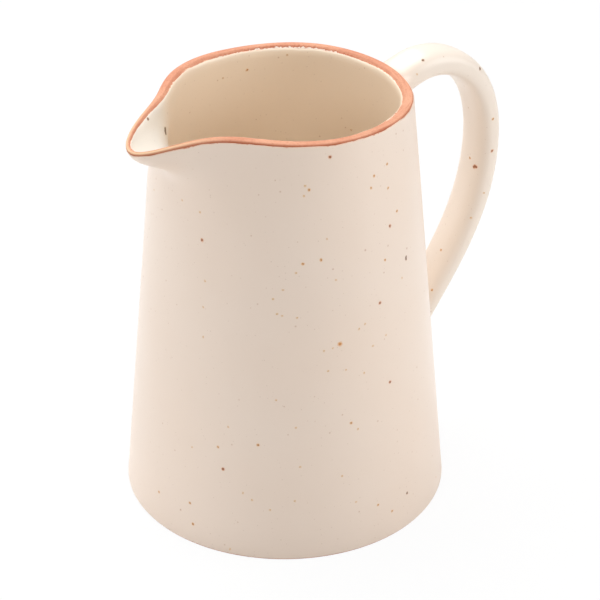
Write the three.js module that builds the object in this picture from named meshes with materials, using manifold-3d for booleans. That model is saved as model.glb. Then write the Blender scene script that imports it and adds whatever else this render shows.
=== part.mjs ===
// A tapered stoneware jug with a pulled spout and a strap handle.
// Millimetres, +Z up. The origin is the middle of the underside. The handle points along +X
// and the spout along -X, so the XZ plane is the jug's plane of symmetry.

import * as THREE from 'three';
import { mergeVertices } from 'three/addons/utils/BufferGeometryUtils.js';
import Module from 'manifold-3d';

const degrees = THREE.MathUtils.degToRad;

// Body, as it is turned before the rim is pulled
const HEIGHT = 171;               // table to the level back of the rim
const FOOT_RADIUS = 65;           // outside, at the table
const MOUTH_RADIUS = 50;          // outside, at the rim
const WALL = 5.5;                 // thickness of the clay wall
const FLOOR = 6;                  // thickness of the floor
const CORNER_RADIUS = 6;          // inside corner between the wall and the floor
const CORNER_SWEEP = degrees(65); // how far the corner turns before it drops to its toe

// Bare clay at the foot and at the rim
const FOOT_RING_HEIGHT = 1.2;
const FOOT_RING_WIDTH = 8;
const FOOT_CHAMFER = 0.6;
const BAND_HEIGHT = 0.9;          // lip that is left without glaze
const LIP_OUTER_ROUND = 0.6;
const LIP_INNER_ROUND = 0.7;
const LIP_ROLL = 1.1;             // lip's inner edge, eased back from the inner face of the wall
const LIP_ROLL_DEPTH = 3.5;       // bare lip down to where that ease has run out

// Spout, drawn out of the rim with one finger while the throat is pinched beside it
const SPOUT_REACH = 25;           // tip of the spout past the pinched rim
const SPOUT_SPREAD = degrees(16.5);
const SPOUT_DEPTH = 24;           // rim down to where the spout has run out into the wall
const SPOUT_DIP = 6.5;            // tip pressed down below the lip on either side of it
const SPOUT_DIP_SPREAD = degrees(12.5);
const TIP_THICKNESS = 2.3;        // wall at the tip, thinned by the finger
const THIN_SPREAD = degrees(23);  // how far round from the tip the wall is thinned
const PINCH = 3.6;                // throat pushed in beside the spout
const PINCH_DEPTH = 32;           // how far down the throat is pushed in close to the spout
const PINCH_SIDE_DEPTH = 70;      // and at the sides, where it runs out gently
const PINCH_FULL_ANGLE = degrees(95);
const PINCH_END_ANGLE = degrees(150);
const LIP_RISE = 5.5;             // front of the rim above its back
const LIP_RISE_SHAPE = 1.65;
const LIP_RISE_DEPTH = 60;

// Handle, a pulled strap with rounded edges
const HANDLE_WIDTH = 17.2;
const HANDLE_TOP_THICKNESS = 11.6;
const HANDLE_FOOT_THICKNESS = 8.6;
const HANDLE_SQUARENESS = 2.6;    // power of the section: 2 is an ellipse
const UPPER_ROOT_DROP = 9.7;      // rim down to where the handle's middle line leaves the wall
const UPPER_ROOT_ANGLE = degrees(16);
const UPPER_ROOT_EASE = 7;
const CREST_DROP = 5.3;           // rim down to the middle line at the crest
const CREST_OUT = 18.7;           // mouth out to the crest
const CREST_EASE_IN = 6.5;
const CREST_EASE_OUT = 18.6;
const FINGER_GAP = 42.3;          // wall to the inside of the handle at its widest
const GRIP_DROP = 46.5;           // rim down to the handle's widest place
const GRIP_EASE_UP = 25;
const GRIP_EASE_DOWN = 38;
const LOWER_ROOT_HEIGHT = 41.5;   // table up to where the middle line meets the wall again
const LOWER_ROOT_ANGLE = degrees(56.5);
const LOWER_ROOT_EASE = 29;

// Slip fillets that lute the handle's roots to the wall
const FILLET_REACH = 7;           // height of the fillet off the wall
const FILLET_SPREAD = 4.5;        // spread of the fillet along the wall
const FILLET_LIP = 0.5;           // thickness where the fillet runs out on the handle

const SEAT_GAP = 0.3;             // gap between pieces that seat on each other's curved faces

// Fineness of the facets
const TURNS = 80;
const TURN_CROWDING = 0.5;        // share by which the turned facets close up at the spout
const PULLED_RINGS = 11;
const RING_CROWDING = 1.4;        // power by which the rings close up towards the rim
const ROUND_STEPS = 3;
const ROLL_STEPS = 4;
const CORNER_STEPS = 4;
const HANDLE_STEPS = 40;
const FILLET_STEPS = 12;
const STRAP_SIDES = 20;

const TAPER = Math.atan2(FOOT_RADIUS - MOUTH_RADIUS, HEIGHT);
const WALL_ACROSS = WALL / Math.cos(TAPER);
const PULL_DEPTH = Math.max(SPOUT_DEPTH, PINCH_DEPTH, PINCH_SIDE_DEPTH, LIP_RISE_DEPTH);

const outerRadius = (z) => FOOT_RADIUS - z * Math.tan(TAPER);
const innerRadius = (z) => outerRadius(z) - WALL_ACROSS;

const GLAZE = { color: 0xe9dccd, roughness: 0.42, metalness: 0 };
const BARE_CLAY = { color: 0xe2916b, roughness: 0.85, metalness: 0 };

const jug = new THREE.Group();

function addPiece(name, geometry, finish) {
  const mesh = new THREE.Mesh(geometry, new THREE.MeshStandardMaterial(finish));
  mesh.name = name;
  jug.add(mesh);
}

// Pulling of the wet rim

// Falls from 1 to 0 over the given depth, level at both ends.
function fade(depth, fullDepth) {
  const share = THREE.MathUtils.clamp(depth / fullDepth, 0, 1);
  return 0.5 + 0.5 * Math.cos(Math.PI * share);
}

// A soft bump of height 1 at the spout.
const bump = (angle, spread) => 1 / Math.cosh(angle / spread) ** 2;

// The wall's outer face at an angle from the spout and a height before the pulling.
function pulledFace(angle, z) {
  const depth = HEIGHT - z;
  const runOut = THREE.MathUtils.smoothstep(Math.abs(angle), PINCH_FULL_ANGLE, PINCH_END_ANGLE);
  const pinch = PINCH * (1 - runOut);
  const pinchDepth = THREE.MathUtils.lerp(PINCH_DEPTH, PINCH_SIDE_DEPTH, Math.sin(angle) ** 4);
  const spout = SPOUT_REACH * bump(angle, SPOUT_SPREAD);
  const rise = LIP_RISE * (0.5 + 0.5 * Math.cos(angle)) ** LIP_RISE_SHAPE;
  const dip = SPOUT_DIP * bump(angle, SPOUT_DIP_SPREAD);
  const radius = outerRadius(z) - pinch * fade(depth, pinchDepth) + spout * fade(depth, SPOUT_DEPTH);
  const height = z + rise * fade(depth, LIP_RISE_DEPTH) - dip * fade(depth, SPOUT_DEPTH);
  return new THREE.Vector3(-radius * Math.cos(angle), -radius * Math.sin(angle), height);
}

function turnedFace(angle, z) {
  const radius = outerRadius(z);
  return new THREE.Vector3(-radius * Math.cos(angle), -radius * Math.sin(angle), z);
}

function outwardNormal(face, angle, z) {
  const nudge = 1e-3;
  const around = face(angle + nudge, z).sub(face(angle - nudge, z));
  const upward = face(angle, z + nudge).sub(face(angle, z - nudge));
  return around.cross(upward).normalize();
}

// Share of the wall's thickness that is left after the finger has drawn the tip out.
function thinning(angle, z) {
  const drawn = bump(angle, THIN_SPREAD) * fade(HEIGHT - z, SPOUT_DEPTH);
  return 1 - drawn * (1 - TIP_THICKNESS / WALL);
}

// Moves a point of the turned jug to where the pulled clay takes it.
function pull(point) {
  const turn = Math.atan2(-point.y, -point.x);
  const angle = turn - TURN_CROWDING * Math.sin(turn);
  const radius = Math.hypot(point.x, point.y);
  const inward = outerRadius(point.z) - radius;
  const before = turnedFace(angle, point.z).addScaledVector(
    outwardNormal(turnedFace, angle, point.z), -inward);
  const after = pulledFace(angle, point.z).addScaledVector(
    outwardNormal(pulledFace, angle, point.z), -inward * thinning(angle, point.z));
  point.set(-radius * Math.cos(angle), -radius * Math.sin(angle), point.z).add(after).sub(before);
}

// A piece turned from a closed outline of [radius, height] points, with its rim pulled.
function turned(outline) {
  const points = outline.map(([radius, height]) => new THREE.Vector2(radius, height));
  const geometry = new THREE.LatheGeometry(points, TURNS).rotateX(Math.PI / 2);
  const position = geometry.attributes.position;
  const point = new THREE.Vector3();
  for (let i = 0; i < position.count; i += 1) {
    point.fromBufferAttribute(position, i);
    pull(point);
    position.setXYZ(i, point.x, point.y, point.z);
  }
  return geometry;
}

// Points on an arc of an outline, from one angle to another.
function arc(radius, height, size, from, to, steps) {
  return Array.from({ length: steps + 1 }, (_, i) => {
    const angle = from + (to - from) * i / steps;
    return [radius + size * Math.cos(angle), height + size * Math.sin(angle)];
  });
}

// Turned pieces

const bandSeat = HEIGHT - BAND_HEIGHT;
const rebateRadius = innerRadius(FLOOR);

// Inside of the wall just below the bare lip, level at its top and upright at its end.
function lipRoll(top) {
  return Array.from({ length: ROLL_STEPS + 1 }, (_, i) => {
    const angle = Math.PI / 2 * (1 - i / ROLL_STEPS);
    const height = top - LIP_ROLL_DEPTH * (1 - Math.sin(angle));
    return [innerRadius(height) + LIP_ROLL * (1 - Math.cos(angle)), height];
  });
}

function vesselWall() {
  const top = bandSeat - SEAT_GAP;
  const depths = Array.from({ length: PULLED_RINGS + 1 }, (_, i) => (i / PULLED_RINGS) ** RING_CROWDING);
  const heights = depths.map((share) => top - share * PULL_DEPTH);
  const cornerHeight = FLOOR + SEAT_GAP + CORNER_RADIUS;
  const cornerMiddle = innerRadius(cornerHeight) - CORNER_RADIUS / Math.cos(TAPER);
  const corner = arc(cornerMiddle, cornerHeight, CORNER_RADIUS, TAPER, -CORNER_SWEEP, CORNER_STEPS);
  const toeRadius = corner[CORNER_STEPS][0];
  const bottom = [outerRadius(FOOT_RING_HEIGHT), FOOT_RING_HEIGHT];
  return turned([
    bottom,
    ...heights.toReversed().map((z) => [outerRadius(z), z]),
    ...lipRoll(top),
    ...heights.filter((z) => z < top - LIP_ROLL_DEPTH).map((z) => [innerRadius(z), z]),
    ...corner,
    [toeRadius, FLOOR + SEAT_GAP],
    [rebateRadius, FLOOR + SEAT_GAP],
    [rebateRadius, FOOT_RING_HEIGHT],
    bottom,
  ]);
}

function rimBand() {
  const quarter = Math.PI / 2;
  const outer = outerRadius(HEIGHT) - LIP_OUTER_ROUND;
  const inner = innerRadius(HEIGHT) + LIP_ROLL + LIP_INNER_ROUND;
  const start = [outerRadius(bandSeat), bandSeat];
  return turned([
    start,
    ...arc(outer, HEIGHT - LIP_OUTER_ROUND, LIP_OUTER_ROUND, 0, quarter, ROUND_STEPS),
    ...arc(inner, HEIGHT - LIP_INNER_ROUND, LIP_INNER_ROUND, quarter, 2 * quarter, ROUND_STEPS),
    [innerRadius(bandSeat) + LIP_ROLL, bandSeat],
    start,
  ]);
}

function footRing() {
  const inner = FOOT_RADIUS - FOOT_RING_WIDTH;
  const start = [inner, 0];
  return turned([
    start,
    [FOOT_RADIUS - FOOT_CHAMFER, 0],
    [outerRadius(FOOT_CHAMFER), FOOT_CHAMFER],
    [outerRadius(FOOT_RING_HEIGHT), FOOT_RING_HEIGHT],
    [inner, FOOT_RING_HEIGHT],
    start,
  ]);
}

// The floor drops into the foot ring, and its shoulder rests on the ring inside the wall.
function baseDisc() {
  const plug = FOOT_RADIUS - FOOT_RING_WIDTH - SEAT_GAP;
  const shoulder = rebateRadius - SEAT_GAP;
  return turned([
    [0, 0],
    [plug, 0],
    [plug, FOOT_RING_HEIGHT],
    [shoulder, FOOT_RING_HEIGHT],
    [shoulder, FLOOR],
    [0, FLOOR],
  ]);
}

// Handle

const wasm = await Module();
wasm.setup();

function toSolid(geometry) {
  const bare = geometry.clone();
  bare.deleteAttribute('normal');
  bare.deleteAttribute('uv');
  const merged = mergeVertices(bare);
  return new wasm.Manifold(new wasm.Mesh({
    numProp: 3,
    vertProperties: new Float32Array(merged.attributes.position.array),
    triVerts: new Uint32Array(merged.index.array),
  }));
}

function toGeometry(solid) {
  const mesh = solid.getMesh();
  const geometry = new THREE.BufferGeometry();
  geometry.setAttribute('position', new THREE.BufferAttribute(mesh.vertProperties, 3));
  geometry.setIndex(new THREE.BufferAttribute(mesh.triVerts, 1));
  return geometry;
}

// The middle line runs from inside the wall over the crest and the grip, and back into the wall.
function handleLine() {
  const at = (x, z) => new THREE.Vector3(x, 0, z);
  const heading = (angle) => at(Math.cos(angle), Math.sin(angle));
  const along = (from, angle, length) => heading(angle).multiplyScalar(length).add(from);
  const upperHeight = HEIGHT - UPPER_ROOT_DROP;
  const gripHeight = HEIGHT - GRIP_DROP;
  const halfGrip = (HANDLE_TOP_THICKNESS + HANDLE_FOOT_THICKNESS) / 4;
  const upperRoot = at(outerRadius(upperHeight), upperHeight);
  const crest = at(MOUTH_RADIUS + CREST_OUT, HEIGHT - CREST_DROP);
  const grip = at(outerRadius(gripHeight) + FINGER_GAP + halfGrip, gripHeight);
  const lowerRoot = at(outerRadius(LOWER_ROOT_HEIGHT), LOWER_ROOT_HEIGHT);
  const line = new THREE.CurvePath();
  line.add(new THREE.LineCurve3(along(upperRoot, UPPER_ROOT_ANGLE, -HANDLE_WIDTH), upperRoot));
  line.add(new THREE.CubicBezierCurve3(
    upperRoot,
    along(upperRoot, UPPER_ROOT_ANGLE, UPPER_ROOT_EASE),
    at(crest.x - CREST_EASE_IN, crest.z),
    crest,
  ));
  line.add(new THREE.CubicBezierCurve3(
    crest,
    at(crest.x + CREST_EASE_OUT, crest.z),
    at(grip.x, grip.z + GRIP_EASE_UP),
    grip,
  ));
  line.add(new THREE.CubicBezierCurve3(
    grip,
    at(grip.x, grip.z - GRIP_EASE_DOWN),
    along(lowerRoot, LOWER_ROOT_ANGLE, LOWER_ROOT_EASE),
    lowerRoot,
  ));
  line.add(new THREE.LineCurve3(lowerRoot, along(lowerRoot, LOWER_ROOT_ANGLE, -HANDLE_WIDTH)));
  return line;
}

const middleLine = handleLine();
const sideways = new THREE.Vector3(0, 1, 0);
const squared = (value) => Math.sign(value) * Math.abs(value) ** (2 / HANDLE_SQUARENESS);

// A closed strap along part of the middle line. extra(point) is what it gains all round at a point.
function strap(from, to, steps, extra) {
  const points = [];
  for (let ring = 0; ring <= steps; ring += 1) {
    const share = from + (to - from) * ring / steps;
    const middle = middleLine.getPointAt(share);
    const tangent = middleLine.getTangentAt(share);
    const across = new THREE.Vector3().crossVectors(sideways, tangent);
    const halfThickness = THREE.MathUtils.lerp(HANDLE_TOP_THICKNESS, HANDLE_FOOT_THICKNESS, share) / 2;
    for (let side = 0; side < STRAP_SIDES; side += 1) {
      const angle = 2 * Math.PI * side / STRAP_SIDES;
      const out = across.clone().multiplyScalar(Math.sin(angle)).addScaledVector(sideways, Math.cos(angle));
      const point = middle.clone();
      point.addScaledVector(sideways, squared(Math.cos(angle)) * HANDLE_WIDTH / 2);
      point.addScaledVector(across, squared(Math.sin(angle)) * halfThickness);
      points.push(point.addScaledVector(out, extra(point)));
    }
  }
  const first = points.length;
  points.push(middleLine.getPointAt(from), middleLine.getPointAt(to));
  const faces = [];
  for (let side = 0; side < STRAP_SIDES; side += 1) {
    const next = (side + 1) % STRAP_SIDES;
    const last = steps * STRAP_SIDES;
    faces.push(first, side, next);
    faces.push(first + 1, last + next, last + side);
    for (let ring = 0; ring < steps; ring += 1) {
      const low = ring * STRAP_SIDES;
      const high = low + STRAP_SIDES;
      faces.push(low + side, high + next, low + next);
      faces.push(low + side, high + side, high + next);
    }
  }
  const geometry = new THREE.BufferGeometry().setFromPoints(points);
  geometry.setIndex(faces);
  return toSolid(geometry);
}

// A solid cone that covers the vessel and everything inside it up to a height, grown outwards by a gap.
function vesselCone(gap, top) {
  const grown = gap / Math.cos(TAPER);
  const points = [
    [0, 0], [FOOT_RADIUS + grown, 0], [outerRadius(top) + grown, top], [0, top],
  ].map(([radius, height]) => new THREE.Vector2(radius, height));
  return toSolid(new THREE.LatheGeometry(points, TURNS).rotateX(Math.PI / 2));
}

const clearOfWall = vesselCone(SEAT_GAP, HEIGHT + HANDLE_WIDTH);
const noExtra = () => 0;
const gapExtra = () => SEAT_GAP;

// The fillet is thickest at the wall and runs out along the handle.
function filletExtra(point) {
  const offWall = (Math.hypot(point.x, point.y) - outerRadius(point.z)) * Math.cos(TAPER);
  const share = THREE.MathUtils.clamp(1 - offWall / FILLET_REACH, 0, 1);
  return SEAT_GAP + FILLET_LIP + (FILLET_SPREAD - FILLET_LIP) * share ** 2;
}

function handle() {
  return toGeometry(strap(0, 1, HANDLE_STEPS, noExtra).subtract(clearOfWall));
}

// A fillet stops short of the bare band at the rim.
function slipFillet(from, to) {
  const flared = strap(from, to, FILLET_STEPS, filletExtra);
  const bore = strap(0, 1, HANDLE_STEPS, gapExtra);
  const room = vesselCone(FILLET_REACH, bandSeat - SEAT_GAP);
  return toGeometry(flared.intersect(room).subtract(bore).subtract(clearOfWall));
}

const rootShare = (2 * HANDLE_WIDTH + FILLET_REACH) / middleLine.getLength();

addPiece('vessel_wall', vesselWall(), GLAZE);
addPiece('rim_band', rimBand(), BARE_CLAY);
addPiece('foot_ring', footRing(), BARE_CLAY);
addPiece('base_disc', baseDisc(), GLAZE);
addPiece('handle', handle(), GLAZE);
addPiece('handle_upper_joint', slipFillet(0, rootShare), GLAZE);
addPiece('handle_lower_joint', slipFillet(1 - rootShare, 1), GLAZE);

export default jug;
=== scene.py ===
from bisect import bisect_left
from math import atan2, cos, cosh, exp, hypot, pi, radians, sin, tan

import bmesh
import bpy
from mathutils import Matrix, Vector, noise
from mathutils.bvhtree import BVHTree
from mathutils.geometry import interpolate_bezier


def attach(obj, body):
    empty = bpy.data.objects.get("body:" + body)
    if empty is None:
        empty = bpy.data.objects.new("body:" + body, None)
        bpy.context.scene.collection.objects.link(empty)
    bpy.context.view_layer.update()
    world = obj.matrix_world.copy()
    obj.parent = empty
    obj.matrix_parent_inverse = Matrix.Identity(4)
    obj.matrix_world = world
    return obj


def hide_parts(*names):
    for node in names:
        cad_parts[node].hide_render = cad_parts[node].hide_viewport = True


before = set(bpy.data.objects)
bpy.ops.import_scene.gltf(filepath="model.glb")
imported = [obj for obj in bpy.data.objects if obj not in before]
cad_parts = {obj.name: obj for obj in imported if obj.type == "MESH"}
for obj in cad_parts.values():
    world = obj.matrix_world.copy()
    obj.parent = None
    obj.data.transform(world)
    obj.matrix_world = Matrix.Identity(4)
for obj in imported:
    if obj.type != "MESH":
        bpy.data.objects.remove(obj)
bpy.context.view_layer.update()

# Sizes are in millimetres, and a finished piece is scaled to metres.
MM = 0.001

# The body as it is turned, before the rim is pulled
HEIGHT = 171
FOOT_RADIUS = 65
MOUTH_RADIUS = 50
WALL = 5.5
FLOOR = 6
CORNER_RADIUS = 6
BAND_HEIGHT = 0.9
LIP_OUTER_EASE = 1.0
LIP_INNER_EASE = 1.4
LIP_ROLL = 1.1
LIP_ROLL_DEPTH = 3.5
FOOT_RING_WIDTH = 8
FOOT_ROUND = 0.5
FOOT_BARE = 0.45
UNDERSIDE = 0.3

# The coat of glaze stands this far proud of the bare clay at the lip and the foot, and its end is rounded.
GLAZE = 0.25
GLAZE_EDGE = 0.35

# The coat's wiped edge strays up and down at the lip: waves to the millimetre, and how far they reach
STRAY_WAVES = ((0.16, 0.30), (0.55, 0.16))

# A painted highlight whitens the coat in the spout and, less so, along the handle, fading over this length.
HIGHLIGHT_LENGTH = 15
HANDLE_HIGHLIGHT = 0.5

# The handle's coat has no wiped edge, so its distance from one is set well out of reach.
FAR_FROM_EDGE = 50

# The spout, drawn out of the rim while the throat is pinched beside it
SPOUT_REACH = 25
SPOUT_SPREAD = radians(16.5)
SPOUT_DEPTH = 24
SPOUT_DIP = 6.5
SPOUT_DIP_SPREAD = radians(12.5)
TIP_THICKNESS = 2.3
THIN_SPREAD = radians(23)
PINCH = 3.6
PINCH_DEPTH = 32
PINCH_SIDE_DEPTH = 70
PINCH_FULL_ANGLE = radians(95)
PINCH_END_ANGLE = radians(150)
LIP_RISE = 5.5
LIP_RISE_SHAPE = 1.65
LIP_RISE_DEPTH = 60

# Under its tip the spout runs out into the wall in a long curve, and its lip flares a little over a hollow
# that is deepest at the flare's depth.
SPOUT_RUN = 36
SPOUT_RUN_SHAPE = 2.4
SPOUT_FLARE = 0.8
SPOUT_FLARE_DEPTH = 6
SPOUT_FLARE_SPREAD = radians(35)

# The handle, a pulled strap with rounded edges
HANDLE_WIDTH = 17.2
HANDLE_TOP_THICKNESS = 11.6
HANDLE_FOOT_THICKNESS = 8.6
HANDLE_SQUARENESS = 2.6
UPPER_ROOT_DROP = 9.7
UPPER_ROOT_ANGLE = radians(16)
UPPER_ROOT_EASE = 7
CREST_DROP = 5.3
CREST_OUT = 18.7
CREST_EASE_IN = 6.5
CREST_EASE_OUT = 18.6
FINGER_GAP = 42.3
GRIP_DROP = 46.5
GRIP_EASE_UP = 25
GRIP_EASE_DOWN = 38
LOWER_ROOT_HEIGHT = 41.5
LOWER_ROOT_ANGLE = radians(56.5)
LOWER_ROOT_EASE = 29

# The slip fillets round the handle's roots. On a side that faces up they stop short of the lip.
FILLET_REACH = 7
FILLET_SPREAD = 4.5
FILLET_SINK = 0.3
FACING_UP = 0.1

# Fineness of the meshes. The points of a ring crowd towards the spout.
TURNS = 256
TURN_CROWDING = 0.5
PULLED_RINGS = 54
STRAIGHT_RINGS = 16
FLOOR_RINGS = 5
UNDERSIDE_RINGS = 4
ROUND_STEPS = 6
ROLL_STEPS = 14
CORNER_STEPS = 10
LIP_TOP_STEPS = 4
UNDER_LIP_SHARES = (0.4, 0.8)
STRAP_SIDES = 56
STRAP_STEPS = 110
FILLET_STEPS = 12
CURVE_STEPS = 160
MEETING_STEPS = 20
NUDGE = 1e-3
MERGE_DISTANCE = 1e-4

TAPER = atan2(FOOT_RADIUS - MOUTH_RADIUS, HEIGHT)
WALL_ACROSS = WALL / cos(TAPER)
PULL_DEPTH = max(SPOUT_DEPTH, PINCH_DEPTH, PINCH_SIDE_DEPTH, LIP_RISE_DEPTH)
LIP_SEAT = HEIGHT - BAND_HEIGHT
SIDEWAYS = Vector((0, 1, 0))


def lerp(start, end, share):
    return start + (end - start) * share


def fade(depth, full_depth):
    """Falls from 1 to 0 over the given depth, level at both ends."""
    share = min(max(depth / full_depth, 0), 1)
    return 0.5 + 0.5 * cos(pi * share)


def quarter_turn(steps):
    """Angles from 0 to a right angle."""
    return [pi / 2 * step / steps for step in range(steps + 1)]


def outer_radius(height):
    return FOOT_RADIUS - height * tan(TAPER)


def inner_radius(height):
    return outer_radius(height) - WALL_ACROSS


# Pulling of the wet rim


def swell(angle, spread):
    """A soft bump of height 1 at the spout."""
    return 1 / cosh(angle / spread) ** 2


def pulled_face(angle, height):
    """The wall's outer face, at an angle from the spout and a height before the pulling."""
    depth = HEIGHT - height
    beside = min(max((abs(angle) - PINCH_FULL_ANGLE) / (PINCH_END_ANGLE - PINCH_FULL_ANGLE), 0), 1)
    pinch = PINCH * (1 - beside * beside * (3 - 2 * beside))
    pinch_depth = lerp(PINCH_DEPTH, PINCH_SIDE_DEPTH, sin(angle) ** 4)
    spout = SPOUT_REACH * swell(angle, SPOUT_SPREAD)
    rise = LIP_RISE * (0.5 + 0.5 * cos(angle)) ** LIP_RISE_SHAPE
    dip = SPOUT_DIP * swell(angle, SPOUT_DIP_SPREAD)
    run_out = fade(depth, SPOUT_RUN) ** SPOUT_RUN_SHAPE
    below_lip = depth / SPOUT_FLARE_DEPTH
    flare = SPOUT_FLARE * swell(angle, SPOUT_FLARE_SPREAD) * below_lip * exp(1 - below_lip)
    radius = outer_radius(height) - pinch * fade(depth, pinch_depth) + spout * run_out - flare
    pulled_height = height + rise * fade(depth, LIP_RISE_DEPTH) - dip * fade(depth, SPOUT_DEPTH)
    return Vector((-radius * cos(angle), -radius * sin(angle), pulled_height))


def turned_face(angle, height):
    radius = outer_radius(height)
    return Vector((-radius * cos(angle), -radius * sin(angle), height))


def outward_normal(face, angle, height):
    around = face(angle + NUDGE, height) - face(angle - NUDGE, height)
    upward = face(angle, height + NUDGE) - face(angle, height - NUDGE)
    return around.cross(upward).normalized()


def thinning(angle, height):
    """Share of the wall's thickness that is left after the finger has drawn the tip out."""
    drawn = swell(angle, THIN_SPREAD) * fade(HEIGHT - height, SPOUT_DEPTH)
    return 1 - drawn * (1 - TIP_THICKNESS / WALL)


def pull(point):
    """Where the pulled clay takes a point of the turned jug."""
    turn = atan2(-point.y, -point.x)
    angle = turn - TURN_CROWDING * sin(turn)
    radius = hypot(point.x, point.y)
    moved = Vector((-radius * cos(angle), -radius * sin(angle), point.z))
    if point.z < HEIGHT - PULL_DEPTH:
        return moved
    inward = outer_radius(point.z) - radius
    before = turned_face(angle, point.z) - outward_normal(turned_face, angle, point.z) * inward
    thinned = inward * thinning(angle, point.z)
    after = pulled_face(angle, point.z) - outward_normal(pulled_face, angle, point.z) * thinned
    return moved + after - before


# Turned pieces


def arc(radius, height, size, start, end, steps):
    """Points of an outline on an arc from one angle to another."""
    angles = [lerp(start, end, i / steps) for i in range(steps + 1)]
    return [(radius + size * cos(angle), height + size * sin(angle)) for angle in angles]


def wall_heights(low, high):
    """Heights of the rings up the wall between two others, close together where the rim is pulled."""
    bend = HEIGHT - PULL_DEPTH
    straight = [lerp(low, bend, i / STRAIGHT_RINGS) for i in range(1, STRAIGHT_RINGS)]
    pulled = [lerp(bend, high, i / PULLED_RINGS) for i in range(PULLED_RINGS)]
    return straight + pulled


def glaze_edge(radius, height, way):
    """The coat's rounded end on the outside of the wall. Way is 1 where it ends upwards, or else -1."""
    points = []
    for angle in quarter_turn(ROUND_STEPS):
        points.append((radius - GLAZE * (1 - sin(angle)), height - way * GLAZE_EDGE * (1 - cos(angle))))
    return points


def inside_outline():
    """The inside, from the middle of the floor up to the roll under the lip."""
    corner_height = FLOOR + CORNER_RADIUS
    corner_middle = inner_radius(corner_height) - CORNER_RADIUS / cos(TAPER)
    floor = [(corner_middle * i / FLOOR_RINGS, FLOOR) for i in range(FLOOR_RINGS)]
    corner = arc(corner_middle, corner_height, CORNER_RADIUS, -pi / 2, TAPER, CORNER_STEPS)
    roll_start = LIP_SEAT - LIP_ROLL_DEPTH
    wall = [(inner_radius(z), z) for z in wall_heights(corner_height, roll_start)]
    roll = []
    for angle in quarter_turn(ROLL_STEPS):
        height = roll_start + LIP_ROLL_DEPTH * sin(angle)
        roll.append((inner_radius(height) + LIP_ROLL * (1 - cos(angle)), height))
    return floor + corner + wall + roll


def outside_outline():
    """The outside, from the coat's edge at the lip down to the middle of the underside."""
    top_edge = glaze_edge(outer_radius(LIP_SEAT), LIP_SEAT, 1)
    wall = [(outer_radius(z), z) for z in wall_heights(FOOT_BARE + GLAZE_EDGE, LIP_SEAT - GLAZE_EDGE)]
    foot_edge = glaze_edge(outer_radius(FOOT_BARE), FOOT_BARE, -1)
    ring_inside = FOOT_RADIUS - FOOT_RING_WIDTH
    underside = [(ring_inside, FOOT_BARE), (ring_inside - GLAZE, UNDERSIDE)]
    underside += [(ring_inside * i / UNDERSIDE_RINGS, UNDERSIDE) for i in reversed(range(UNDERSIDE_RINGS))]
    return top_edge + wall[::-1] + foot_edge[::-1] + underside


def body_outline():
    """The glazed body, from the middle of the floor, over the lip's seat, to the middle of the underside."""
    inner = inner_radius(LIP_SEAT)
    outer = outer_radius(LIP_SEAT)
    under_lip = [(lerp(inner, outer, share), LIP_SEAT) for share in UNDER_LIP_SHARES]
    return inside_outline() + under_lip + outside_outline()


def lip_outline():
    """The bare lip, whose foot is sunk in the glazed body."""
    outer = outer_radius(HEIGHT) - GLAZE
    inner = inner_radius(HEIGHT) + LIP_ROLL
    sunk = LIP_SEAT - 2 * GLAZE_EDGE
    outer_round = []
    for angle in quarter_turn(ROUND_STEPS):
        radius = outer - LIP_OUTER_EASE * (1 - cos(angle))
        outer_round.append((radius, LIP_SEAT + BAND_HEIGHT * sin(angle)))
    top = []
    for step in range(1, LIP_TOP_STEPS):
        radius = lerp(outer - LIP_OUTER_EASE, inner + LIP_INNER_EASE, step / LIP_TOP_STEPS)
        top.append((radius, HEIGHT))
    run_out = []
    for step in range(ROUND_STEPS + 1):
        share = step / ROUND_STEPS
        run_out.append((inner + LIP_INNER_EASE * (1 - share), LIP_SEAT + BAND_HEIGHT * fade(share, 1)))
    return [(outer, sunk)] + outer_round + top + run_out + [(inner, sunk), (outer, sunk)]


def foot_outline():
    """The bare ring that the jug stands on, whose top is sunk in the glazed body."""
    outer = FOOT_RADIUS - GLAZE
    inner = FOOT_RADIUS - FOOT_RING_WIDTH
    sunk = FOOT_BARE + GLAZE_EDGE
    outer_round = arc(outer - FOOT_ROUND, FOOT_ROUND, FOOT_ROUND, -pi / 2, 0, ROUND_STEPS)
    inner_round = arc(inner + FOOT_ROUND, FOOT_ROUND, FOOT_ROUND, pi, pi * 3 / 2, ROUND_STEPS)
    top = [(outer_radius(sunk) - GLAZE, sunk), (inner, sunk)]
    return [(inner, sunk)] + inner_round + outer_round + top


def edge_distance(radius, height):
    """How far a point of an outline is from the nearest of the coat's edges, at the lip and the foot."""
    edges = [
        (outer_radius(LIP_SEAT), LIP_SEAT),
        (inner_radius(LIP_SEAT) + LIP_ROLL, LIP_SEAT),
        (outer_radius(FOOT_BARE), FOOT_BARE),
    ]
    return min(hypot(radius - edge_radius, height - edge_height) for edge_radius, edge_height in edges)


def across(radius, height):
    """How far in through the wall a point lies, from 0 on its outer face to 1 on its inner face."""
    if height < FLOOR:
        return 0
    return min((outer_radius(height) - radius) / WALL_ACROSS, 1)


def ragged(point):
    """How far the wiped edge of the coat strays up or down at a point close to the lip."""
    near = fade(LIP_SEAT - point.z, LIP_ROLL_DEPTH)
    return near * sum(reach * noise.noise(point * waves) for waves, reach in STRAY_WAVES)


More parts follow.
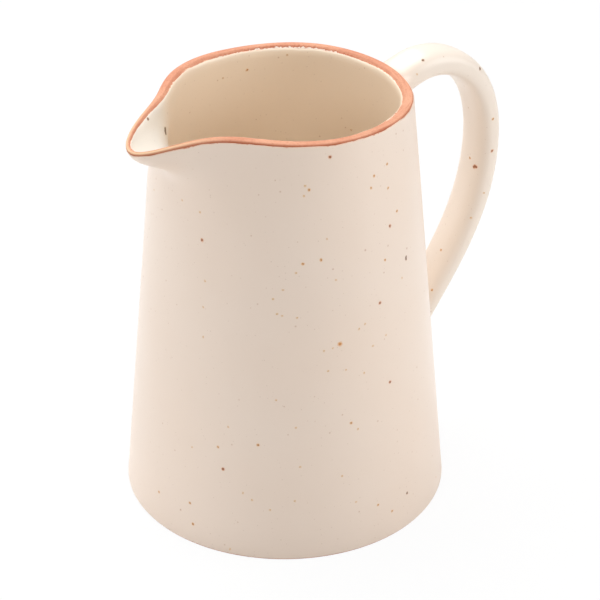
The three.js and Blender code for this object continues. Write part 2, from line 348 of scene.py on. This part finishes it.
def turned(outline, coated):
    """Spins an outline of (radius, height) points round the jug's axis, then pulls the rim.

    A coated piece also gets the coat's ragged edge at the lip.
    """
    shape = bmesh.new()
    distance = shape.verts.layers.float.new("edge_distance")
    across_wall = shape.verts.layers.float.new("across_wall")
    painted_highlight = shape.verts.layers.float.new("painted_highlight")
    corners = [shape.verts.new((radius, 0, height)) for radius, height in outline]
    edges = [shape.edges.new(pair) for pair in zip(corners, corners[1:])]
    bmesh.ops.spin(
        shape,
        geom=corners + edges,
        cent=(0, 0, 0),
        axis=(0, 0, 1),
        angle=2 * pi,
        steps=TURNS,
        use_merge=True,
    )
    bmesh.ops.remove_doubles(shape, verts=shape.verts, dist=MERGE_DISTANCE)
    bmesh.ops.recalc_face_normals(shape, faces=shape.faces)
    for vert in shape.verts:
        radius = hypot(vert.co.x, vert.co.y)
        vert[distance] = edge_distance(radius, vert.co.z)
        vert[across_wall] = across(radius, vert.co.z)
        stray = ragged(vert.co) if coated else 0
        vert.co = pull(vert.co)
        vert.co.z += stray
        # Painted highlight: the inside near the spout is whitened.
        vert[painted_highlight] = vert[across_wall] * fade(vert.co.x + MOUTH_RADIUS, HIGHLIGHT_LENGTH)
    return shape


# Handle


def handle_line():
    """Points along the handle's middle line, from the upper root over crest and grip to the lower root."""
    upper_height = HEIGHT - UPPER_ROOT_DROP
    grip_height = HEIGHT - GRIP_DROP
    half_grip = (HANDLE_TOP_THICKNESS + HANDLE_FOOT_THICKNESS) / 4
    upper_root = Vector((outer_radius(upper_height), 0, upper_height))
    upper_way = Vector((cos(UPPER_ROOT_ANGLE), 0, sin(UPPER_ROOT_ANGLE)))
    crest = Vector((MOUTH_RADIUS + CREST_OUT, 0, HEIGHT - CREST_DROP))
    grip = Vector((outer_radius(grip_height) + FINGER_GAP + half_grip, 0, grip_height))
    lower_root = Vector((outer_radius(LOWER_ROOT_HEIGHT), 0, LOWER_ROOT_HEIGHT))
    lower_way = Vector((cos(LOWER_ROOT_ANGLE), 0, sin(LOWER_ROOT_ANGLE)))
    outwards = Vector((1, 0, 0))
    upwards = Vector((0, 0, 1))
    curves = [
        (upper_root, upper_root + upper_way * UPPER_ROOT_EASE, crest - outwards * CREST_EASE_IN, crest),
        (crest, crest + outwards * CREST_EASE_OUT, grip + upwards * GRIP_EASE_UP, grip),
        (grip, grip - upwards * GRIP_EASE_DOWN, lower_root + lower_way * LOWER_ROOT_EASE, lower_root),
    ]
    points = [upper_root]
    for start, start_ease, end_ease, end in curves:
        points += interpolate_bezier(start, start_ease, end_ease, end, CURVE_STEPS)[1:]
    return points


class Strap:
    """The handle's strap, measured along its middle line from the upper root."""

    def __init__(self, points):
        self.points = points
        self.marks = [0]
        for before, after in zip(points, points[1:]):
            self.marks.append(self.marks[-1] + (after - before).length)
        self.length = self.marks[-1]

    def middle(self, distance):
        """Point and direction of the middle line, which runs on straight past both roots."""
        index = min(max(bisect_left(self.marks, distance), 1), len(self.points) - 1)
        before = self.points[index - 1]
        span = self.marks[index] - self.marks[index - 1]
        way = (self.points[index] - before) / span
        return before + way * (distance - self.marks[index - 1]), way

    def skin(self, distance, side, extra):
        """Point of the strap's skin at a side, an angle round its section, and the way out from there."""
        middle, way = self.middle(distance)
        through = SIDEWAYS.cross(way)
        share = (distance + HANDLE_WIDTH) / (self.length + 2 * HANDLE_WIDTH)
        half_thickness = lerp(HANDLE_TOP_THICKNESS, HANDLE_FOOT_THICKNESS, share) / 2
        out = SIDEWAYS * cos(side) + through * sin(side)
        rounding = 2 / HANDLE_SQUARENESS
        width = abs(cos(side)) ** rounding * HANDLE_WIDTH / 2
        thickness = abs(sin(side)) ** rounding * half_thickness
        point = middle + SIDEWAYS * (width if cos(side) > 0 else -width)
        point += through * (thickness if sin(side) > 0 else -thickness)
        return point + out * extra, out

    def meeting(self, guess, way, side, extra, clearance):
        """Distance along the strap at which a side of its skin has that clearance from the wall."""
        distance = guess
        for _ in range(MEETING_STEPS):
            point, _out = self.skin(distance, side, extra)
            off_wall = (hypot(point.x, point.y) - outer_radius(point.z)) * cos(TAPER)
            distance += way * (clearance - off_wall)
        return distance

    def rail(self, side):
        """A line along the skin, fillets included: distances along the strap, and the fillet's extra."""
        root, out = self.skin(self.meeting(0, 1, side, 0, 0), side, 0)
        room = LIP_SEAT - 2 * GLAZE_EDGE - root.z
        upper_spread = min(FILLET_SPREAD, room / out.z) if out.z > FACING_UP else FILLET_SPREAD
        upper = []
        lower = []
        for angle in reversed(quarter_turn(FILLET_STEPS)):
            clearance = (FILLET_REACH + FILLET_SINK) * (1 - sin(angle)) - FILLET_SINK
            upper_extra = upper_spread * (1 - cos(angle))
            lower_extra = FILLET_SPREAD * (1 - cos(angle))
            upper.append((self.meeting(0, 1, side, upper_extra, clearance), upper_extra))
            lower.append((self.meeting(self.length, -1, side, lower_extra, clearance), lower_extra))
        start = upper[-1][0]
        end = lower[-1][0]
        between = [(lerp(start, end, i / STRAP_STEPS), 0) for i in range(1, STRAP_STEPS)]
        return upper + between + lower[::-1]


def handle_shape():
    """The strap with its slip fillets, which run out level with the wall at both roots.

    A flat grid is rolled up round the strap, one column to a rail, and its ends are closed inside the wall.
    """
    strap = Strap(handle_line())
    sides = [2 * pi * i / STRAP_SIDES for i in range(STRAP_SIDES)]
    rails = [strap.rail(side) for side in sides]
    rings = len(rails[0]) - 1
    shape = bmesh.new()
    distance = shape.verts.layers.float.new("edge_distance")
    painted_highlight = shape.verts.layers.float.new("painted_highlight")
    bmesh.ops.create_grid(shape, x_segments=STRAP_SIDES, y_segments=rings, size=1)
    for vert in shape.verts:
        column = round((vert.co.x + 1) / 2 * STRAP_SIDES) % STRAP_SIDES
        along, extra = rails[column][round((vert.co.y + 1) / 2 * rings)]
        vert.co = strap.skin(along, sides[column], extra)[0]
        vert[distance] = FAR_FROM_EDGE
        from_wall = min(along, strap.length - along)
        # Painted highlight: the handle is whitened away from its roots.
        vert[painted_highlight] = HANDLE_HIGHLIGHT * (1 - fade(from_wall, HIGHLIGHT_LENGTH))
    bmesh.ops.remove_doubles(shape, verts=shape.verts, dist=MERGE_DISTANCE)
    bmesh.ops.holes_fill(shape, edges=[edge for edge in shape.edges if edge.is_boundary], sides=0)
    bmesh.ops.recalc_face_normals(shape, faces=shape.faces)
    return shape


# Camera, which stands above the jug's left front, far off with a long lens. Its places are in metres.
CAMERA_PLACE = Vector((-0.5395, -0.7160, 0.6224))
CAMERA_AIM = Vector((0.00496, -0.00374, 0.0805))
CAMERA_TURN = (CAMERA_AIM - CAMERA_PLACE).to_track_quat("-Z", "Y")
LENS = 157.26
SENSOR = 36
PICTURE = 600


def make_camera():
    data = bpy.data.cameras.new("camera")
    data.lens = LENS
    data.sensor_width = SENSOR
    camera = bpy.data.objects.new("camera", data)
    camera.location = CAMERA_PLACE
    camera.rotation_euler = CAMERA_TURN.to_euler()
    bpy.context.scene.collection.objects.link(camera)
    bpy.context.scene.camera = camera


# Materials

# Sockets of a Mix node that mixes colours
FACTOR, FIRST, SECOND, MIXED = 0, 6, 7, 2


def linear(hex_code):
    """An sRGB hex value as linear colour with full alpha."""
    channels = [int(hex_code[i:i + 2], 16) / 255 for i in (0, 2, 4)]
    return [c / 12.92 if c <= 0.04045 else ((c + 0.055) / 1.055) ** 2.4 for c in channels] + [1]


def per_mm(size):
    """Scale of a pattern whose features are that many millimetres across."""
    return 1 / (size * MM)


def add(tree, kind, inputs, **settings):
    """Adds a node. An input is a value, or the output socket that feeds it."""
    node = tree.nodes.new(kind)
    for name, value in settings.items():
        setattr(node, name, value)
    for key, value in inputs.items():
        if isinstance(value, bpy.types.NodeSocket):
            tree.links.new(value, node.inputs[key])
        else:
            node.inputs[key].default_value = value
    return node


def painted(tree, colour, layers):
    """Lays tints over a colour, one after the other. A layer is the share that it covers, and its tint."""
    for share, tint in layers:
        over = add(tree, "ShaderNodeMix", {FACTOR: share, FIRST: colour, SECOND: tint}, data_type="RGBA")
        colour = over.outputs[MIXED]
    return colour


CREAM = linear("ebdacb")
WARM_CREAM = linear("e9d4c2")
# Cream of the inside: a thicker poured coat, made paler as painted light for a strong light from above
POURED_CREAM_WITH_PAINTED_LIGHT = linear("fbe8d0")
# Near-white of the painted highlight in the spout and along the handle
HIGHLIGHT_WHITE = linear("ece3d6")
THIN_GLAZE = linear("e3b594")
SALMON_CLAY = linear("d28f71")
PALE_CLAY = linear("dda283")
RED_CLAY = linear("ab542d")
TAN_CLAY = linear("e4be98")

# Fine iron dust: size of the cell that holds one grain, radius of the largest grain, its strength and tint
IRON_DUST = (
    (2.0, 0.34, 0.30, "b08f72"),
    (5.0, 0.55, 0.45, "b58656"),
    (12.0, 0.75, 0.60, "ad7138"),
)

# Conspicuous specks, at their places in the photograph's picture
BURNT_SPECKS = [
    (406, 257), (406, 258), (406, 259), (407, 493), (148, 119), (480, 68), (480, 69), (423, 60),
]
BURNT_STREAK = [
    (165, 129), (165.5, 129), (165, 131), (165.7, 131), (165.5, 133), (166, 133),
]
IRON_SPECKS = [
    (330, 157), (475, 166), (474, 167), (476, 167), (380, 303), (202, 240), (223, 469), (390, 226),
    (492, 151), (390, 382),
]
RUST_SPECKS = [
    (340, 344),
]
OCHRE_SPECKS = [
    (351, 423), (303, 264), (190, 503), (247, 70), (159, 492), (258, 445), (493, 119), (432, 290),
    (387, 164), (388, 188), (397, 211), (385, 260), (470, 158), (441, 250), (193, 524), (218, 447),
    (392, 511), (378, 505), (321, 260), (374, 176), (371, 188), (309, 190),
]
PALE_SPECKS = [
    (192, 447), (243, 493), (252, 500), (270, 510), (295, 501), (300, 467), (342, 476), (356, 502),
    (436, 477), (230, 549), (402, 278), (223, 78), (287, 55), (351, 130), (283, 290), (273, 299),
    (277, 314), (282, 316), (297, 318), (296, 273), (336, 280), (365, 324), (359, 329), (333, 348),
    (324, 351), (346, 370), (364, 373), (328, 371), (276, 400), (296, 428), (228, 427), (205, 281),
    (203, 307), (203, 337), (358, 429), (386, 335), (373, 346), (305, 186), (304, 196), (327, 239),
    (387, 72), (484, 193), (471, 218), (417, 74), (154, 190), (182, 200), (200, 212),
]

# Each kind of speck: its places, radius and tint of its core, radius and tint of the rust around it
SPECK_KINDS = (
    (PALE_SPECKS, 0.30, "c9a070", 0.65, "e3c195"),
    (OCHRE_SPECKS, 0.40, "a5682e", 0.80, "dda867"),
    (RUST_SPECKS, 0.70, "c07a34", 1.30, "dca05c"),
    (IRON_SPECKS, 0.60, "7a3a14", 0.95, "d68c4c"),
    (BURNT_SPECKS, 0.58, "4a2408", 0.85, "b8804c"),
    (BURNT_STREAK, 0.90, "3c1c06", 1.10, "c09a64"),
)

# Share of a speck's radius that has its full tint, and the size and reach of the waves in its outline
SPECK_FULL = 0.4
WOBBLE_SIZE = 0.9
WOBBLE_REACH = 0.7
MEAN_NOISE = (0.5, 0.5, 0.5)

# Each speck of the outside has a twin on the hidden side: half a turn round and upside down on the body, or
# this far down on the handle. The twin's place is looked for from a metre off.
TWIN_DROP = 12
FAR_OFF = 1

# Thickness and gloss of the coat vary in patches this wide.
COAT_PATCH = 45
GLAZE_SMOOTHEST = 0.29
GLAZE_ROUGHEST = 0.36
GLAZE_IOR = 1.65

# Close to its wiped edge the coat is thin, and it has crawled back by up to half a millimetre.
THIN_EDGE = 0.4
THIN_SHARE = 0.6
CRAWL_SIZE = 1.6
CRAWL_SWING = 0.9
CRAWL_START = -0.4

# Orange-peel of the fired glaze
PEEL_SIZE = 5
PEEL_HEIGHT = 0.05
PEEL_STRENGTH = 0.6


def seen_at(picture_place, skins):
    """Point of the jug's skin that the camera sees at a place in the picture."""
    column, row = picture_place
    focal = LENS / SENSOR * PICTURE
    way = CAMERA_TURN @ Vector((column - PICTURE / 2, PICTURE / 2 - row, -focal)).normalized()
    hits = [skin.ray_cast(CAMERA_PLACE, way) for skin in skins]
    return min((hit for hit in hits if hit[0]), key=lambda hit: hit[3])[0]


def hidden_twin(point, body_skin, handle_skin):
    """Place of a like speck on the side that the photograph hides, or None for a point of the inside."""
    off_wall = hypot(point.x, point.y) - outer_radius(point.z / MM) * MM
    if off_wall > FILLET_REACH * MM:
        start = Vector((point.x, FAR_OFF, point.z - TWIN_DROP * MM))
        return handle_skin.ray_cast(start, -SIDEWAYS)[0]
    if off_wall > -WALL / 2 * MM:
        outwards = Vector((-point.x, -point.y, 0)).normalized()
        start = outwards * FAR_OFF + Vector((0, 0, HEIGHT * MM - point.z))
        return body_skin.ray_cast(start, -outwards)[0]
    return None


def iron_dust(tree, where):
    """Layers of grains too fine to place, drawn a little coarser than they are so that they show."""
    layers = []
    for cell, largest, strength, tint in IRON_DUST:
        cells = add(tree, "ShaderNodeTexVoronoi", {"Vector": where, "Scale": per_mm(cell)})
        chance = add(tree, "ShaderNodeSeparateColor", {"Color": cells.outputs["Color"]}).outputs["Red"]
        size = add(tree, "ShaderNodeMath", {0: chance, 1: largest / cell}, operation="MULTIPLY").outputs[0]
        full = add(tree, "ShaderNodeMath", {0: size, 1: SPECK_FULL}, operation="MULTIPLY").outputs[0]
        spot = add(tree, "ShaderNodeMapRange", {
            "Value": cells.outputs["Distance"],
            "From Min": full,
            "From Max": size,
            "To Min": strength,
            "To Max": 0,
        })
        layers.append((spot.outputs[0], linear(tint)))
    return layers


def iron_specks(tree, where, skins):
    """Layers of the specks that the eye picks out: a dark core, and rust that bled into the glaze."""
    wobble = add(tree, "ShaderNodeTexNoise", {
        "Vector": where,
        "Scale": per_mm(WOBBLE_SIZE),
        "Detail": 1,
    }).outputs["Color"]
    wave = add(tree, "ShaderNodeVectorMath", {0: wobble, 1: MEAN_NOISE}, operation="SUBTRACT").outputs[0]
    shift = add(tree, "ShaderNodeVectorMath", {
        0: wave,
        "Scale": WOBBLE_REACH * MM,
    }, operation="SCALE").outputs[0]
    strayed = add(tree, "ShaderNodeVectorMath", {0: where, 1: shift}, operation="ADD").outputs[0]
    layers = []
    for places, core, core_tint, bleed, bleed_tint in SPECK_KINDS:
        seen = [seen_at(place, skins) for place in places]
        hidden = [hidden_twin(point, *skins) for point in seen]
        nearest = None
        for point in seen + [twin for twin in hidden if twin]:
            gap = add(tree, "ShaderNodeVectorMath", {
                0: strayed,
                1: point,
            }, operation="DISTANCE").outputs["Value"]
            if nearest is not None:
                gap = add(tree, "ShaderNodeMath", {0: nearest, 1: gap}, operation="MINIMUM").outputs[0]
            nearest = gap
        for size, tint in ((bleed, bleed_tint), (core, core_tint)):
            spot = add(tree, "ShaderNodeMapRange", {
                "Value": nearest,
                "From Min": SPECK_FULL * size * MM,
                "From Max": size * MM,
                "To Min": 1,
                "To Max": 0,
            })
            layers.append((spot.outputs[0], linear(tint)))
    return layers


def speckled_cream_glaze(skins):
    """Semi-matt glaze that stoneware is dipped in: a broad soft shine, with iron specks that bleed."""
    material = bpy.data.materials.new("speckled_cream_glaze")
    material.use_nodes = True
    tree = material.node_tree
    shader = tree.nodes["Principled BSDF"]
    where = add(tree, "ShaderNodeTexCoord", {}).outputs["Object"]

    # The coat is a little thinner and warmer in broad patches.
    patches = add(tree, "ShaderNodeTexNoise", {
        "Vector": where,
        "Scale": per_mm(COAT_PATCH),
        "Detail": 3,
    }).outputs["Fac"]
    layers = [(patches, WARM_CREAM)]

    # Inside, the coat is poured, not dipped, so thicker; its paler tint is partly painted light. The whitest
    # is a painted highlight.
    for name, tint in (("across_wall", POURED_CREAM_WITH_PAINTED_LIGHT), ("painted_highlight", HIGHLIGHT_WHITE)):
        share = add(tree, "ShaderNodeAttribute", {}, attribute_name=name).outputs["Fac"]
        layers.append((share, tint))

    layers += iron_dust(tree, where)
    layers += iron_specks(tree, where, skins)

    # The coat thins towards its wiped edge, where the clay shows through it in ragged patches.
    edge = add(tree, "ShaderNodeAttribute", {}, attribute_name="edge_distance").outputs["Fac"]
    thin = add(tree, "ShaderNodeMapRange", {
        "Value": edge,
        "From Min": 0,
        "From Max": THIN_EDGE,
        "To Min": THIN_SHARE,
        "To Max": 0,
    }).outputs[0]
    crawl = add(tree, "ShaderNodeTexNoise", {
        "Vector": where,
        "Scale": per_mm(CRAWL_SIZE),
        "Detail": 3,
    }).outputs["Fac"]
    reach = add(tree, "ShaderNodeMath", {
        0: crawl,
        1: CRAWL_SWING,
        2: CRAWL_START,
    }, operation="MULTIPLY_ADD").outputs[0]
    bare = add(tree, "ShaderNodeMath", {0: edge, 1: reach}, operation="LESS_THAN").outputs[0]
    layers += [(thin, THIN_GLAZE), (bare, SALMON_CLAY)]
    tree.links.new(painted(tree, CREAM, layers), shader.inputs["Base Color"])

    coat_roughness = add(tree, "ShaderNodeMapRange", {
        "Value": patches,
        "To Min": GLAZE_SMOOTHEST,
        "To Max": GLAZE_ROUGHEST,
    }).outputs[0]
    roughness = add(tree, "ShaderNodeMath", {0: coat_roughness, 1: bare}, operation="MAXIMUM").outputs[0]
    tree.links.new(roughness, shader.inputs["Roughness"])
    shader.inputs["IOR"].default_value = GLAZE_IOR

    peel = add(tree, "ShaderNodeTexNoise", {
        "Vector": where,
        "Scale": per_mm(PEEL_SIZE),
        "Detail": 3,
    }).outputs["Fac"]
    relief = add(tree, "ShaderNodeBump", {
        "Height": peel,
        "Strength": PEEL_STRENGTH,
        "Distance": PEEL_HEIGHT * MM,
    }).outputs[0]
    tree.links.new(relief, shader.inputs["Normal"])
    return material


# Bare clay, which flushes paler in patches: their size, and where the pattern's values start and end
CLAY_ROUGHNESS = 0.85
FLUSH_SIZE = 14
FLUSH_LOW = 0.35
FLUSH_HIGH = 0.65

# The sponge's streaks along the lip, and the sand that it lays bare
STREAK_LENGTH = 6
STREAK_WIDTH = 0.6
STREAK_LOW = 0.5
STREAK_HIGH = 0.8
STREAK_SHARE = 0.4
SAND_SIZE = 0.8
SAND_HEIGHT = 0.05
SAND_STRENGTH = 0.5

# The spout's tip, which is full at half the spout's reach and ends a little inside the mouth
TIP_FULL = MOUTH_RADIUS + SPOUT_REACH / 2
TIP_END = 0.85 * MOUTH_RADIUS

# The smear along the tip: its place across the lip and its ends beside that, in shares of the wall
SMEAR_PLACE = 0.28
SMEAR_FULL = 0.05
SMEAR_END = 0.28

# The darker clay beside the coat: its strength outside, inside and, added to that, inside at the tip
DARK_EDGE_OUTER = 0.8
DARK_EDGE_INNER = 0.15
DARK_EDGE_TIP = 0.35

# Where outside goes over to inside, in shares of the wall, and its ends in millimetres from the coat's edge
DARK_EDGE_OUTER_END = 0.3
DARK_EDGE_INNER_START = 0.6
DARK_EDGE_FULL = 0.4
DARK_EDGE_END = 1.2

# The back of the lip: the way to it from the jug's axis, and how far that way it starts and is full
BACK_WAY = (0.55, 0.835, 0)
BACK_START = 0.55 * MOUTH_RADIUS
BACK_FULL = 0.9 * MOUTH_RADIUS

# The crept coat's limit across the lip, its shreds and the stained clay beside it, in shares of the wall
CREPT_ELSEWHERE = 0.9
CREPT_BACK = 0.73
SHRED_SIZE = 1.1
SHRED_REACH = 0.2
STAIN_WIDTH = 0.12
STAIN_SHARE = 0.8


def wiped_streaks(tree, where, across_wall, sand):
    """Layers of red in the wiped clay: streaks, long along the lip and narrow across it, and sand."""
    inward = add(tree, "ShaderNodeCombineXYZ", {0: across_wall}).outputs[0]
    widths = add(tree, "ShaderNodeVectorMath", {
        0: inward,
        "Scale": WALL / STREAK_WIDTH,
    }, operation="SCALE").outputs[0]
    lengths = add(tree, "ShaderNodeVectorMath", {
        0: where,
        "Scale": per_mm(STREAK_LENGTH),
    }, operation="SCALE").outputs[0]
    lanes = add(tree, "ShaderNodeVectorMath", {0: widths, 1: lengths}, operation="ADD").outputs[0]
    wiped = add(tree, "ShaderNodeTexNoise", {"Vector": lanes, "Scale": 1, "Detail": 3}).outputs["Fac"]
    layers = []
    for pattern in (wiped, sand):
        streaks = add(tree, "ShaderNodeMapRange", {
            "Value": pattern,
            "From Min": STREAK_LOW,
            "From Max": STREAK_HIGH,
            "To Min": 0,
            "To Max": STREAK_SHARE,
        })
        layers.append((streaks.outputs[0], RED_CLAY))
    return layers


def smeared_slip(tree, across_wall, at_tip):
    """Layer of pale slip that the finger which drew out the spout has smeared along the tip."""
    past = add(tree, "ShaderNodeMath", {0: across_wall, 1: SMEAR_PLACE}, operation="SUBTRACT").outputs[0]
    off_smear = add(tree, "ShaderNodeMath", {0: past}, operation="ABSOLUTE").outputs[0]
    smear = add(tree, "ShaderNodeMapRange", {
        "Value": off_smear,
        "From Min": SMEAR_FULL,
        "From Max": SMEAR_END,
        "To Min": at_tip,
        "To Max": 0,
    }).outputs[0]
    return smear, TAN_CLAY


def darker_clay_edge(tree, across_wall, at_tip):
    """Layer of darker clay beside the coat, strongest outside, and stronger inside at the tip than elsewhere
    inside.
    """
    inner_share = add(tree, "ShaderNodeMath", {
        0: at_tip,
        1: DARK_EDGE_TIP,
        2: DARK_EDGE_INNER,
    }, operation="MULTIPLY_ADD").outputs[0]
    share = add(tree, "ShaderNodeMapRange", {
        "Value": across_wall,
        "From Min": DARK_EDGE_OUTER_END,
        "From Max": DARK_EDGE_INNER_START,
        "To Min": DARK_EDGE_OUTER,
        "To Max": inner_share,
    }).outputs[0]
    edge = add(tree, "ShaderNodeAttribute", {}, attribute_name="edge_distance").outputs["Fac"]
    darkened = add(tree, "ShaderNodeMapRange", {
        "Value": edge,
        "From Min": DARK_EDGE_FULL,
        "From Max": DARK_EDGE_END,
        "To Min": share,
        "To Max": 0,
    }).outputs[0]
    return darkened, RED_CLAY


def crept_coat(tree, where, across_wall):
    """Layers at the back, where the poured coat has crept up on to the lip and was wiped off in shreds."""
    back = add(tree, "ShaderNodeVectorMath", {0: where, 1: BACK_WAY}, operation="DOT_PRODUCT")
    smooth_limit = add(tree, "ShaderNodeMapRange", {
        "Value": back.outputs["Value"],
        "From Min": BACK_START * MM,
        "From Max": BACK_FULL * MM,
        "To Min": CREPT_ELSEWHERE,
        "To Max": CREPT_BACK,
    }).outputs[0]
    shreds = add(tree, "ShaderNodeTexNoise", {
        "Vector": where,
        "Scale": per_mm(SHRED_SIZE),
        "Detail": 4,
    }).outputs["Fac"]
    shift = add(tree, "ShaderNodeMapRange", {
        "Value": shreds,
        "To Min": -SHRED_REACH,
        "To Max": SHRED_REACH,
    }).outputs[0]
    limit = add(tree, "ShaderNodeMath", {0: smooth_limit, 1: shift}, operation="ADD").outputs[0]
    short_of_it = add(tree, "ShaderNodeMath", {0: limit, 1: across_wall}, operation="SUBTRACT").outputs[0]
    stained = add(tree, "ShaderNodeMapRange", {
        "Value": short_of_it,
        "From Min": 0,
        "From Max": STAIN_WIDTH,
        "To Min": STAIN_SHARE,
        "To Max": 0,
    }).outputs[0]
    crept = add(tree, "ShaderNodeMath", {0: across_wall, 1: limit}, operation="GREATER_THAN").outputs[0]
    return [(stained, RED_CLAY), (crept, CREAM)]


def bare_stoneware_clay():
    """Iron-bearing stoneware, wiped clean and fired bare: salmon, quite matt, streaked by the sponge."""
    material = bpy.data.materials.new("bare_stoneware_clay")
    material.use_nodes = True
    tree = material.node_tree
    shader = tree.nodes["Principled BSDF"]
    where = add(tree, "ShaderNodeTexCoord", {}).outputs["Object"]
    across_wall = add(tree, "ShaderNodeAttribute", {}, attribute_name="across_wall").outputs["Fac"]
    lengthwise = add(tree, "ShaderNodeSeparateXYZ", {0: where}).outputs["X"]
    at_tip = add(tree, "ShaderNodeMapRange", {
        "Value": lengthwise,
        "From Min": -TIP_FULL * MM,
        "From Max": -TIP_END * MM,
        "To Min": 1,
        "To Max": 0,
    }).outputs[0]
    patches = add(tree, "ShaderNodeTexNoise", {
        "Vector": where,
        "Scale": per_mm(FLUSH_SIZE),
        "Detail": 3,
    }).outputs["Fac"]
    flush = add(tree, "ShaderNodeMapRange", {
        "Value": patches,
        "From Min": FLUSH_LOW,
        "From Max": FLUSH_HIGH,
    }).outputs[0]
    sand = add(tree, "ShaderNodeTexNoise", {
        "Vector": where,
        "Scale": per_mm(SAND_SIZE),
        "Detail": 2,
    }).outputs["Fac"]

    layers = [(flush, PALE_CLAY)]
    layers += wiped_streaks(tree, where, across_wall, sand)
    layers.append(smeared_slip(tree, across_wall, at_tip))
    layers.append(darker_clay_edge(tree, across_wall, at_tip))
    layers += crept_coat(tree, where, across_wall)
    tree.links.new(painted(tree, SALMON_CLAY, layers), shader.inputs["Base Color"])
    shader.inputs["Roughness"].default_value = CLAY_ROUGHNESS
    relief = add(tree, "ShaderNodeBump", {
        "Height": sand,
        "Strength": SAND_STRENGTH,
        "Distance": SAND_HEIGHT * MM,
    }).outputs[0]
    tree.links.new(relief, shader.inputs["Normal"])
    return material


# Studio, with its places and sizes in metres

# A lamp's name, place, width, height and power in watts. All of them are turned to the jug's middle.
JUG_MIDDLE = Vector((0, 0, 0.09))
SOFT_BOXES = (
    ("front_box", (-0.45, -0.60, 0.75), 1.2, 0.8, 3.8),
    ("back_box", (0.10, 0.60, 1.00), 1.0, 1.0, 11),
    ("top_box", (0, 0, 0.75), 0.8, 0.8, 1.4),
    ("left_box", (-0.85, 0.55, 0.45), 0.7, 0.9, 3.7),
    ("right_box", (0.75, -0.65, 0.47), 0.7, 0.9, 5.7),
)
AMBIENT = 0.04

# The paper, and the share of plain white that it shows in the picture and in a reflection
PAPER_HALF_WIDTH = 4
PAPER_WHITE = linear("fafafa")
PAPER_ROUGHNESS = 0.9
WHITE_IN_PICTURE = 0.92
WHITE_IN_REFLECTION = 0.2


def seen_directly(tree, in_picture, in_reflection):
    """The given shares for rays that show a background in the picture or in a reflection, or else 0."""
    path = add(tree, "ShaderNodeLightPath", {})
    shown = 0
    for name, share in (
            ("Is Camera Ray", in_picture),
            ("Is Glossy Ray", in_reflection),
            ("Is Transmission Ray", in_reflection),
    ):
        ray = path.outputs[name]
        given = add(tree, "ShaderNodeMath", {0: ray, 1: share}, operation="MULTIPLY").outputs[0]
        shown = add(tree, "ShaderNodeMath", {0: shown, 1: given}, operation="MAXIMUM").outputs[0]
    return shown


def make_floor():
    """A wide sheet of white paper. Most of it is shown plain white, so that only a faint shadow is left.

    A reflection shows more of the paper as it is lit, which is darker under the jug.
    """
    shape = bmesh.new()
    bmesh.ops.create_grid(shape, x_segments=1, y_segments=1, size=PAPER_HALF_WIDTH)
    mesh = bpy.data.meshes.new("paper_floor")
    shape.to_mesh(mesh)
    shape.free()
    material = bpy.data.materials.new("white_paper")
    material.use_nodes = True
    tree = material.node_tree
    paper = tree.nodes["Principled BSDF"]
    paper.inputs["Base Color"].default_value = PAPER_WHITE
    paper.inputs["Roughness"].default_value = PAPER_ROUGHNESS
    white = add(tree, "ShaderNodeEmission", {"Strength": 1})
    share = seen_directly(tree, WHITE_IN_PICTURE, WHITE_IN_REFLECTION)
    mixed = add(tree, "ShaderNodeMixShader", {0: share, 1: paper.outputs[0], 2: white.outputs[0]})
    tree.links.new(mixed.outputs[0], tree.nodes["Material Output"].inputs["Surface"])
    mesh.materials.append(material)
    floor = bpy.data.objects.new("paper_floor", mesh)
    bpy.context.scene.collection.objects.link(floor)


def make_world():
    world = bpy.data.worlds.new("studio")
    world.use_nodes = True
    tree = world.node_tree
    background = tree.nodes["Background"]
    background.inputs["Color"].default_value = (1, 1, 1, 1)
    strength = add(tree, "ShaderNodeMapRange", {
        "Value": seen_directly(tree, 1, 1),
        "To Min": AMBIENT,
        "To Max": 1,
    }).outputs[0]
    tree.links.new(strength, background.inputs["Strength"])
    bpy.context.scene.world = world


def make_soft_box(name, place, width, height, power):
    data = bpy.data.lights.new(name, "AREA")
    data.shape = "RECTANGLE"
    data.size = width
    data.size_y = height
    data.energy = power
    lamp = bpy.data.objects.new(name, data)
    lamp.location = place
    lamp.rotation_euler = (JUG_MIDDLE - Vector(place)).to_track_quat("-Z", "Y").to_euler()
    bpy.context.scene.collection.objects.link(lamp)


make_camera()
make_floor()
make_world()
for soft_box in SOFT_BOXES:
    make_soft_box(*soft_box)


# Pieces


def scaled(shape):
    bmesh.ops.scale(shape, vec=(MM, MM, MM), verts=shape.verts)
    for face in shape.faces:
        face.smooth = True
    return shape


def make_piece(name, shape, material, slot, *nodes):
    mesh = bpy.data.meshes.new(name)
    shape.to_mesh(mesh)
    shape.free()
    mesh.materials.append(material)
    piece = bpy.data.objects.new(name, mesh)
    bpy.context.scene.collection.objects.link(piece)
    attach(piece, "root")
    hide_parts(*nodes)


body = scaled(turned(body_outline(), True))
lip = scaled(turned(lip_outline(), False))
foot = scaled(turned(foot_outline(), False))
handle = scaled(handle_shape())
glaze = speckled_cream_glaze([BVHTree.FromBMesh(body), BVHTree.FromBMesh(handle)])
clay = bare_stoneware_clay()
make_piece("glazed_body", body, glaze, "cream_glaze", "vessel_wall", "base_disc")
make_piece("bare_lip", lip, clay, "bare_clay", "rim_band")
make_piece("bare_foot", foot, clay, "bare_clay", "foot_ring")
make_piece(
    "strap_handle", handle, glaze, "cream_glaze", "handle", "handle_upper_joint", "handle_lower_joint")

bpy.context.scene.view_settings.view_transform = "Standard"
